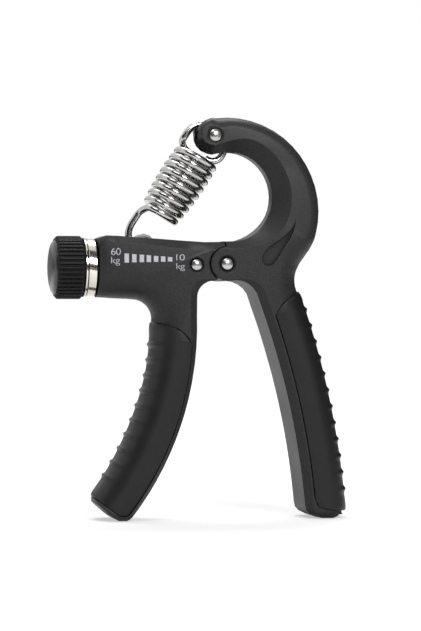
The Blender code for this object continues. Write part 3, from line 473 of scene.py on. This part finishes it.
def rib_rows(start, stop, count):
    """Angles from just before the first rib to just after the last, with the rib's height."""

    def height(pitches):
        """Height of a rib so many pitches away from its middle."""
        return RIB_HIGH * math.exp(-(pitches / RIB_WIDE) ** 2)

    pitch = (start - stop) / (count - 1)
    rows = []
    for k in range((count - 1) * RIB_STEPS + 1):
        offset = k / RIB_STEPS
        rows.append((start - pitch * offset, height(offset - round(offset))))
    tail = [k / RIB_STEPS for k in range(1, RIB_STEPS // 2)]
    ahead = [(start + pitch * t, height(t)) for t in reversed(tail)]
    after = [(stop - pitch * t, height(t)) for t in tail]
    return ahead + rows + after


def grip(name, rings, body, replaced):
    """Closed rubber piece over a row of rings."""
    points = [place(*p) for ring in rings for p in ring]
    faces = closed_skin(len(rings), len(rings[0]))
    made = mesh_piece(name, points, faces, RUBBER, body, GRIP_SHARP)
    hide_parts(replaced)


# The spring arm's grip lies on arcs round one far centre. Its radii are those of the casting's
# inner face, and of the ribs' tops, the seam and the casting's outer rim.
RIGHT_FACE = 307.5
RIGHT_CENTRE = np.array((32.5 - RIGHT_FACE, -122.0))
RIGHT_CREST = RIGHT_FACE + 18.6
RIGHT_SEAM = RIGHT_FACE + 3.9
RIGHT_METAL = RIGHT_FACE + 16.8
RIGHT_TOP_Z = -16.83
RIGHT_FOOT_Z = 5.2 - PIVOT[2]
RIGHT_RIBS = 12
RIGHT_ROUND, RIGHT_SHOULDER_ROUND = 8.0, 8.5
# Degrees from the shoulder and the foot to the first and last rib, and to where rings start
RIGHT_RIB_ENDS = (1.25, 0.75)
RIGHT_RING_ENDS = (0.75, 0.12)
# Rounded shoulder: degrees past the top, millimetres in from the ribs' tops, the seam's place
# from the casting's top corner, and the share of the rounding there
RIGHT_SHOULDER = ((0.12, 2.0, (-6.4, -3.3), 0.6), (0.05, 1.2, (-7.3, -4.1), 0.8),
                  (-0.2, 0.7, (-8.6, -5.3), 0.95), (-0.5, 0.6, (-9.4, -6.6), 1.0))
# Toe: degrees past the foot, millimetres in from the ribs' tops, and the seam's place behind
# the foot and above the floor
RIGHT_TOE = ((0.05, 0.75, 12.1, 5.6), (-0.2, 0.72, 11.7, 4.6), (-0.42, 0.72, 10.8, 4.0),
             (-0.62, 0.8, 9.4, 3.75), (-0.76, 1.1, 8.7, 3.7))


def spring_arm_grip():
    """Grip of the spring arm, from its shoulder to its toe."""
    centre = RIGHT_CENTRE
    high = math.degrees(math.asin((RIGHT_TOP_Z - centre[1]) / RIGHT_FACE))
    low = math.degrees(math.asin((RIGHT_FOOT_Z - centre[1]) / RIGHT_FACE))
    top = on_circle(centre, RIGHT_METAL, high)
    rings = []
    for lead, inset, shift, share in RIGHT_SHOULDER:
        rings.append(grip_ring(on_circle(centre, RIGHT_CREST - inset, high + lead),
                               top + shift, RIGHT_SHOULDER_ROUND * share))
    for theta, rib in rib_rows(high - RIGHT_RIB_ENDS[0], low + RIGHT_RIB_ENDS[1], RIGHT_RIBS):
        if low + RIGHT_RING_ENDS[1] < theta < high - RIGHT_RING_ENDS[0]:
            rings.append(grip_ring(on_circle(centre, RIGHT_CREST - RIB_HIGH, theta),
                                   on_circle(centre, RIGHT_SEAM, theta), RIGHT_ROUND, rib))
    foot = on_circle(centre, RIGHT_METAL, low)[0]
    for lead, inset, behind, rise in RIGHT_TOE:
        rings.append(grip_ring(on_circle(centre, RIGHT_CREST - inset, low + lead),
                               np.array((foot - behind, rise - PIVOT[2])), RIGHT_ROUND))
    grip("ribbed_grip_right", rings, "spring_arm_body", "spring_arm_grip")


# The adjuster arm's grip lies on arcs round a nearer centre on its outer side, down to a round
# heel, so a smaller radius is further out.
LEFT_FACE = 119.3
LEFT_FACE_X = -11.5
LEFT_CENTRE = np.array((LEFT_FACE_X - LEFT_FACE, -24.0))
LEFT_INSET = 2.0
LEFT_SEAM = LEFT_FACE - LEFT_INSET
LEFT_FLOOR = LEFT_FACE - 17.6 + RIB_HIGH
LEFT_SWELL, LEFT_FLARE = 0.55, 0.15
LEFT_CORNER = 5.0
# How far the round heel would reach below the floor, which leaves the flat that it stands on
HEEL_SINK = 0.24
LEFT_RIBS = 10
LEFT_ROUND, LEFT_RIB_ROUND = 9.0, 9.1
# Degrees below the centre for the first rib and ring, and above the foot for the last ones
LEFT_RIB_ENDS = (4.0, 6.0)
LEFT_RING_ENDS = (3.0, 3.2)
# Rounded shoulder: degrees from the top, millimetres in from the ribs' floor, the seam's place
# behind the face and below the centre, and the share of the rounding there
LEFT_SHOULDER = ((0.85, 0.5, 9.2, 0.7, 0.9), (0.65, 0.1, 8.0, 1.2, 0.97),
                 (-0.1, -0.1, 6.0, 2.3, 1.0), (-0.9, -0.1, 4.2, 4.1, 1.0),
                 (-2.2, 0.0, 2.8, 6.2, 1.0))
# Heel: degrees above the foot, degrees round the heel's corner, and millimetres in from the
# ribs' floor
LEFT_HEEL = ((2.7, -12.0, 0.0), (1.8, -35.0, 0.1), (1.2, -58.0, 0.3), (0.9, -76.0, 0.6),
             (0.8, -84.0, 1.1))


def adjuster_grip():
    """Grip of the adjuster arm, from its shoulder to its round heel."""
    centre = LEFT_CENTRE
    reach = LEFT_FACE - LEFT_CORNER
    drop_to_heel = PIVOT[2] + centre[1] - LEFT_CORNER + HEEL_SINK
    heel_turn = -math.degrees(math.asin(drop_to_heel / reach))
    low = heel_turn - math.degrees(math.asin(LEFT_CORNER / reach))
    heel = on_circle(centre, reach, heel_turn)

    def rib_floor(theta):
        """Radius of the ribs' floor, which swells in the middle and flares at the foot."""
        part = min(1.0, max(0.0, (theta + 6.0) / (low + 6.0)))
        return LEFT_FLOOR - LEFT_SWELL * math.sin(math.pi * part) ** 2 - LEFT_FLARE * part

    rings = []
    for theta, inset, behind, drop, share in LEFT_SHOULDER:
        seam = np.array((LEFT_FACE_X - behind, centre[1] - drop))
        rings.append(grip_ring(on_circle(centre, rib_floor(theta) + inset, theta), seam,
                               LEFT_ROUND * share))
    for theta, rib in rib_rows(-LEFT_RIB_ENDS[0], low + LEFT_RIB_ENDS[1], LEFT_RIBS):
        if low + LEFT_RING_ENDS[1] < theta < -LEFT_RING_ENDS[0]:
            rings.append(grip_ring(on_circle(centre, rib_floor(theta), theta),
                                   on_circle(centre, LEFT_SEAM, theta), LEFT_RIB_ROUND, rib))
    for rise, turn, inset in LEFT_HEEL:
        seam = on_circle(heel, LEFT_CORNER - LEFT_INSET, heel_turn + turn)
        rings.append(grip_ring(on_circle(centre, rib_floor(low) + inset, low + rise), seam,
                               LEFT_ROUND))
    grip("ribbed_grip_left", rings, "adjuster_body", "adjuster_grip")


spring_arm_grip()
adjuster_grip()

# Spring: one wire with a hook at each end, between the slider's pin and the tip's bush

WIRE_R = 1.4
PIN_R = 1.9
HOOK_PLAY = 0.3
# Radius of the coil: at its foot, and what its share of the height and its square add
COIL_BARREL = (6.3, 5.4, -4.3)
COIL_SHIFT = -0.45
COIL_TURNS = 9
COIL_START = 12.25
COIL_PITCH = 3.21
COIL_STEP = 9.0
# Bend between coil and hook: degrees of the coil that it takes, its fullness and its steps,
# and how far below and above the coil it meets the hooks' straight legs
BEND_TURN = 45.0
BEND_PULL = 5.5
BEND_STEPS = 14
BEND_BELOW, BEND_ABOVE = 4.0, 2.3
HOOK_STEPS = 37
CURL_STEPS = 17
CURL_FROM, CURL_TO = -8.0, -104.0
LOW_HOOK_R = 7.5
TOP_HOOK_R = 8.2
TOP_SHIFT = -0.75
CURL_R = 4.2
WIRE_SIDES = 20
WIRE_CHAMFER = 0.25

up = (TIP - SLIDER) / np.linalg.norm(TIP - SLIDER)
right = np.array((up[1], -up[0]))
length = float(np.linalg.norm(TIP - SLIDER))
LOW_CENTRE = LOW_HOOK_R - WIRE_R - PIN_R - HOOK_PLAY
TOP_CENTRE = length - (TOP_HOOK_R - WIRE_R - PIN_R - HOOK_PLAY)


def spring_point(across, y, rise):
    """Point of the spring: across it, through it, and up it from the slider's pin."""
    spot = SLIDER + right * across + up * rise
    return np.array((spot[0], y, spot[1]))


def spring_heading(across, y, rise):
    """Direction in the spring's own axes."""
    return spring_point(across, y, rise) - spring_point(0.0, 0.0, 0.0)


def coil_point(turn):
    """Point and heading of the coil after so many degrees from its left side."""
    angle = math.radians(180.0 + turn)
    rise = COIL_START + COIL_PITCH * turn / 360.0
    share = min(1.0, max(0.0, turn / 360.0 / COIL_TURNS))
    radius = COIL_BARREL[0] + COIL_BARREL[1] * share + COIL_BARREL[2] * share ** 2
    spot = spring_point(COIL_SHIFT + radius * math.cos(angle), radius * math.sin(angle), rise)
    heading = spring_heading(-radius * math.sin(angle), radius * math.cos(angle),
                             COIL_PITCH / (2 * math.pi))
    return spot, heading / np.linalg.norm(heading)


def smooth_bend(p, q, tangent_p, tangent_q):
    """Smooth bend between two points, without its ends."""
    made = []
    for k in range(1, BEND_STEPS):
        t = k / BEND_STEPS
        made.append((2 * t ** 3 - 3 * t ** 2 + 1) * p + (t ** 3 - 2 * t ** 2 + t) * tangent_p
                    + (3 * t ** 2 - 2 * t ** 3) * q + (t ** 3 - t ** 2) * tangent_q)
    return made


def bow(across, rise, radius, turns):
    """Points of a hook's bow, in the spring's flat plane, at angles in degrees."""
    made = []
    for angle in np.radians(turns):
        made.append(spring_point(across + radius * math.cos(angle), 0.0,
                                 rise + radius * math.sin(angle)))
    return made


def spring_wire():
    """Centre line of the wire, from the lower hook's end to the upper hook's end."""
    last_turn = COIL_TURNS * 360.0
    axis_up = spring_heading(0.0, 0.0, 1.0)
    wire = [spring_point(LOW_HOOK_R, 0.0, LOW_CENTRE + 0.5)]
    wire += bow(0.0, LOW_CENTRE, LOW_HOOK_R, np.linspace(0.0, -180.0, HOOK_STEPS))
    wire += [spring_point(-LOW_HOOK_R, 0.0, z)
             for z in np.linspace(LOW_CENTRE + 0.8, COIL_START - BEND_BELOW - 0.6, 4)]
    leave = spring_point(-LOW_HOOK_R, 0.0, COIL_START - BEND_BELOW)
    wire.append(leave)
    join, heading = coil_point(BEND_TURN)
    wire += smooth_bend(leave, join, axis_up * BEND_PULL, heading * BEND_PULL)
    wire += [coil_point(turn)[0]
             for turn in np.arange(BEND_TURN, last_turn - BEND_TURN - 2.0, COIL_STEP)]
    join, heading = coil_point(last_turn - BEND_TURN)
    wire.append(join)
    reach = spring_point(TOP_SHIFT - TOP_HOOK_R, 0.0,
                         COIL_START + COIL_TURNS * COIL_PITCH + BEND_ABOVE)
    wire += smooth_bend(join, reach, heading * BEND_PULL, axis_up * BEND_PULL)
    wire.append(reach)
    wire += bow(TOP_SHIFT, TOP_CENTRE, TOP_HOOK_R, np.linspace(180.0, 0.0, HOOK_STEPS))
    wire += bow(TOP_SHIFT + TOP_HOOK_R - CURL_R, TOP_CENTRE, CURL_R,
                np.linspace(CURL_FROM, CURL_TO, CURL_STEPS))
    return np.array(wire)


def round_wire(line, radius, sides, chamfer):
    """Points and faces of a wire along a line, with chamfered ends."""
    tangents = np.gradient(line, axis=0)
    tangents /= np.linalg.norm(tangents, axis=1)[:, None]
    normal = np.cross(tangents[0], (0.0, 1.0, 0.0))
    rows = []
    last = len(line) - 1
    ends = [(0, radius - chamfer, 0.0), (0, radius, chamfer)]
    ends += [(k, radius, 0.0) for k in range(1, last)]
    ends += [(last, radius, -chamfer), (last, radius - chamfer, 0.0)]
    for k, size, shift in ends:
        normal = normal - tangents[k] * (normal @ tangents[k])
        normal /= np.linalg.norm(normal)
        side = np.cross(tangents[k], normal)
        centre = line[k] + tangents[k] * shift
        for j in range(sides):
            turn = 2 * math.pi * j / sides
            rows.append(centre + (normal * math.cos(turn) + side * math.sin(turn)) * size)
    return [place(*p) for p in rows], closed_skin(len(ends), sides)


points, faces = round_wire(spring_wire(), WIRE_R, WIRE_SIDES, WIRE_CHAMFER)
spring = mesh_piece("spring_wire", points, faces, CHROME, None)
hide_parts("spring")
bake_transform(spring)

# Lead screw with its thread, from the knob to the inner bearing

THREAD_FROM = -45.0
THREAD_PITCH = 0.001
THREAD_DEPTH = 0.00042
THREAD_STEPS = 6
SCREW_SIDES = 24
SHANK = 0.99


def lead_screw():
    """Screw in metres along x: a plain shank, the thread, and a turned-down end."""
    low_box, high_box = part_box("lead_screw")
    turns_from = (PIVOT[0] + THREAD_FROM) * MM
    turns_to = high_box[0] - 0.0004
    radius = (high_box[2] - low_box[2]) / 2
    centre_z = (high_box[2] + low_box[2]) / 2
    step = THREAD_PITCH / THREAD_STEPS
    # Each ring: its place, its share of the radius, and whether the thread is cut there
    rings = [(low_box[0], 0.8, False), (low_box[0] + 0.0005, SHANK, False),
             (turns_from - 0.0002, SHANK, False)]
    rings += [(turns_from + k * step, SHANK, True)
              for k in range(int((turns_to - turns_from) / step) + 1)]
    rings += [(turns_to + 0.0002, 0.86, False), (high_box[0], 0.7, False)]
    points = []
    for x, share, cut in rings:
        for j in range(SCREW_SIDES):
            turn = 2 * math.pi * j / SCREW_SIDES
            wave = abs(((x / THREAD_PITCH + j / SCREW_SIDES) % 1.0) * 2.0 - 1.0)
            depth = THREAD_DEPTH * min(1.0, max(0.0, wave * 1.5 - 0.25)) if cut else 0.0
            size = radius * share - depth
            points.append(Vector((x, size * math.cos(turn), centre_z + size * math.sin(turn))))
    made = mesh_piece("threaded_screw", points, closed_skin(len(rings), SCREW_SIDES), STEEL,
                      "knob_body", 60.0)
    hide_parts("lead_screw")


lead_screw()

# Printed scale: numerals of a dial with their unit, and seven bars on the housing's front

PRINT_BACK, PRINT_FRONT = -12.02, -12.035
LETTER_GAP = 0.9
LETTER_THIN = -0.004
LETTER_THICK = 0.00001


def sign(name, words, left, top, width, height):
    """Printed words, fitted to a box measured from the pivot."""
    curve = bpy.data.curves.new(name, "FONT")
    curve.body = words
    curve.size = 1.0
    curve.space_character = LETTER_GAP
    curve.extrude = LETTER_THICK
    made = bpy.data.objects.new(name, curve)
    bpy.context.collection.objects.link(made)
    bpy.context.view_layer.update()
    made.data.materials.append(PRINT)
    xs = [c[0] for c in made.bound_box]
    ys = [c[1] for c in made.bound_box]
    wide = width * MM / (max(xs) - min(xs))
    tall = height * MM / (max(ys) - min(ys))
    made.scale = (wide, tall, 1.0)
    made.rotation_euler = (math.pi / 2, 0.0, 0.0)
    corner = place(left, PRINT_BACK, top)
    made.location = corner - Vector((min(xs) * wide, 0.0, max(ys) * tall))
    made.data.offset = LETTER_THIN
    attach(made, "adjuster_body")


sign("print_high_value", "60", -45.4, 5.9, 3.8, 2.7)
sign("print_high_unit", "kg", -45.4, 2.5, 3.5, 3.3)
sign("print_low_value", "10", -20.1, 3.6, 3.4, 2.35)
sign("print_low_unit", "kg", -20.1, 0.2, 3.4, 3.0)

BAR_WIDE = 1.75
BAR_SLOPE_LOW, BAR_SLOPE_TOP = 0.04, 0.06
# Left edge, top and bottom of each bar, from the strongest setting to the lightest
BARS = [(-40.21, 3.84, 0.32), (-37.26, 3.58, 0.41), (-34.35, 3.40, 0.50), (-31.63, 3.23, 0.59),
        (-28.83, 2.97, 0.64), (-26.07, 2.79, 0.72), (-23.34, 2.53, 0.81)]
for k, (left, top, bottom) in enumerate(BARS):
    outline = [(left, bottom), (left + BAR_WIDE, bottom - BAR_SLOPE_LOW),
               (left + BAR_WIDE, top - BAR_SLOPE_TOP), (left, top)]
    points = [place(x, y, z) for y in (PRINT_BACK, PRINT_FRONT) for x, z in outline]
    mesh_piece("print_bar_%d" % (k + 1), points, closed_skin(2, 4), PRINT, "adjuster_body")

# Studio: soft lamps, a white floor and world, and walls that only gloss sees

WORLD_LIGHT = 0.4
WORLD_STOPS = [(0.0, 0.10), (0.48, 0.15), (0.55, 0.35), (1.0, 0.80)]
LAMP_AIM = Vector((0.005, 0.0, 0.08))

scene = bpy.context.scene
scene.view_settings.view_transform = "Standard"


def studio_world():
    """World that is white where it is seen, and lights the object more from above."""
    world = bpy.data.worlds.new("studio")
    scene.world = world
    world.use_nodes = True
    tree = world.node_tree
    split = tree.nodes.new("ShaderNodeSeparateXYZ")
    link(tree, node(tree, "ShaderNodeTexCoord").outputs["Generated"], split.inputs[0])
    height = plus(tree, times(tree, split.outputs[2], 0.5), 0.5)
    light = tree.nodes["Background"]
    light.inputs["Strength"].default_value = WORLD_LIGHT
    link(tree, ramp(tree, height, WORLD_STOPS), light.inputs["Color"])
    white = node(tree, "ShaderNodeBackground", Color=(1.0, 1.0, 1.0, 1.0), Strength=1.0)
    pick = tree.nodes.new("ShaderNodeMixShader")
    link(tree, seen_rays(tree), pick.inputs[0])
    link(tree, light.outputs[0], pick.inputs[1])
    link(tree, white.outputs[0], pick.inputs[2])
    link(tree, pick.outputs[0], tree.nodes["World Output"].inputs[0])


studio_world()


def heading_of(azimuth, height):
    """Direction from the object at an azimuth from the front and a height, in degrees."""
    turn, rise = math.radians(azimuth), math.radians(height)
    return Vector((math.sin(turn) * math.cos(rise), -math.cos(turn) * math.cos(rise),
                   math.sin(rise)))


def lamp(name, azimuth, height, away, size, power, shape="RECTANGLE"):
    """Soft lamp at a direction and distance from the object, aimed at it."""
    light = bpy.data.lights.new(name, "AREA")
    light.shape = shape
    light.size, light.size_y = size
    light.energy = power
    made = bpy.data.objects.new(name, light)
    heading = heading_of(azimuth, height)
    made.location = LAMP_AIM + heading * away
    made.rotation_euler = (-heading).to_track_quat("-Z", "Y").to_euler()
    made.visible_camera = False
    bpy.context.collection.objects.link(made)


lamp("key_left", azimuth=-30.0, height=54.0, away=0.85, size=(0.40, 0.30), power=1.6)
lamp("top", azimuth=176.0, height=66.0, away=0.95, size=(0.55, 0.35), power=4.8)
lamp("front_lamp", azimuth=11.0, height=26.0, away=1.05, size=(0.36, 0.36), power=6.0,
     shape="ELLIPSE")


def plain_stage(name, points, faces, look):
    """Floor or wall of the studio."""
    mesh = bpy.data.meshes.new(name)
    mesh.from_pydata(points, [], faces)
    mesh.materials.append(look)
    made = bpy.data.objects.new(name, mesh)
    bpy.context.collection.objects.link(made)
    return made


FLOOR_HALF, FLOOR_Z = 3.0, -0.0002
FLOOR_SEEN, FLOOR_LIT = 0.60, 0.28
# Glow of the floor where it is seen, by its distance from the object in metres
FLOOR_GLOW = [(0.12, 0.51), (0.75, 0.94)]


def floor_look():
    """Pale floor that keeps the object's shadow, white where it is seen, a plain grey else."""
    mat, tree, shader = new_material("floor_white")
    shader.inputs["Base Color"].default_value = (FLOOR_SEEN, FLOOR_SEEN, FLOOR_SEEN, 1.0)
    shader.inputs["Roughness"].default_value = 0.9
    shader.inputs["Specular IOR Level"].default_value = 0.1
    away = node(tree, "ShaderNodeVectorMath", operation="LENGTH")
    link(tree, object_place(tree), away.inputs[0])
    glow = node(tree, "ShaderNodeEmission", Color=(1.0, 1.0, 1.0, 1.0))
    link(tree, ramp(tree, away.outputs["Value"], FLOOR_GLOW), glow.inputs["Strength"])
    both = tree.nodes.new("ShaderNodeAddShader")
    link(tree, shader.outputs[0], both.inputs[0])
    link(tree, glow.outputs[0], both.inputs[1])
    grey = node(tree, "ShaderNodeBsdfDiffuse", Color=(FLOOR_LIT, FLOOR_LIT, FLOOR_LIT, 1.0))
    pick = tree.nodes.new("ShaderNodeMixShader")
    link(tree, seen_rays(tree), pick.inputs[0])
    link(tree, grey.outputs[0], pick.inputs[1])
    link(tree, both.outputs[0], pick.inputs[2])
    link(tree, pick.outputs[0], tree.nodes["Material Output"].inputs["Surface"])
    return mat


floor_corners = [(x * FLOOR_HALF, y * FLOOR_HALF, FLOOR_Z)
                 for x, y in ((-1, -1), (1, -1), (1, 1), (-1, 1))]
plain_stage("floor", floor_corners, [(0, 1, 2, 3)], floor_look())

ROOM_R = 1.6
ROOM_EYE = 0.08
ABOVE_FLOOR = 0.002
WALL_TURN = 10.0
WALL_ROWS = 8


def wall(name, azimuth_from, azimuth_to, low, high, shade):
    """Wall of the room round the studio, between two azimuths and heights, in gloss only."""
    look, _, shader = new_material(name)
    shader.inputs["Base Color"].default_value = (0.02, 0.02, 0.02, 1.0)
    shader.inputs["Roughness"].default_value = 1.0
    shader.inputs["Specular IOR Level"].default_value = 0.0
    shader.inputs["Emission Color"].default_value = (1.0, 1.0, 1.0, 1.0)
    shader.inputs["Emission Strength"].default_value = shade
    across = max(2, round((azimuth_to - azimuth_from) / WALL_TURN))
    points = []
    for height in np.linspace(low, high, WALL_ROWS + 1):
        # Below the eye's height, the wall comes in so that it stays above the floor
        away = ROOM_R
        if height < 0:
            away = min(ROOM_R, (ROOM_EYE - ABOVE_FLOOR) / math.sin(-math.radians(height)))
        points += [Vector((0.0, 0.0, ROOM_EYE)) + heading_of(azimuth, height) * away
                   for azimuth in np.linspace(azimuth_from, azimuth_to, across + 1)]
    wide = across + 1
    faces = [(i * wide + j, i * wide + j + 1, (i + 1) * wide + j + 1, (i + 1) * wide + j)
             for i in range(WALL_ROWS) for j in range(across)]
    made = plain_stage(name, points, faces, look)
    made.visible_camera = False
    made.visible_diffuse = False
    made.visible_shadow = False
    made.visible_transmission = False


# Name, azimuths from and to, heights from and to, in degrees, and shade
for room_wall in (("room_front", -72.0, 24.0, -2.0, 69.0, 0.0),
                  ("room_front_right", 24.0, 62.0, -2.0, 69.0, 0.25),
                  ("room_right", 62.0, 130.0, -2.0, 69.0, 0.0),
                  ("room_back_right", 130.0, 172.0, -2.0, 34.0, 0.0),
                  ("room_back_left_low", -188.0, -107.0, -2.0, 8.0, 0.30),
                  ("room_back_left", -188.0, -107.0, 8.0, 34.0, 1.0),
                  ("room_floor", -55.0, 172.0, -9.0, -3.2, 0.0)):
    wall(*room_wall)

# Camera at the photo's angle, level, one metre from what it looks at

CAMERA_LENS = 146.3
CAMERA_SENSOR = 36.0
CAMERA_TURN = -11.0
AIM_X, AIM_Z = -4.345, -19.93

camera_data = bpy.data.cameras.new("camera")
camera_data.lens = CAMERA_LENS
camera_data.sensor_width = CAMERA_SENSOR
camera = bpy.data.objects.new("camera", camera_data)
turn = math.radians(CAMERA_TURN)
camera.location = place(AIM_X, 0.0, AIM_Z) + Vector((math.sin(turn), -math.cos(turn), 0.0))
camera.rotation_euler = (math.pi / 2, 0.0, turn)
bpy.context.collection.objects.link(camera)
scene.camera = camera
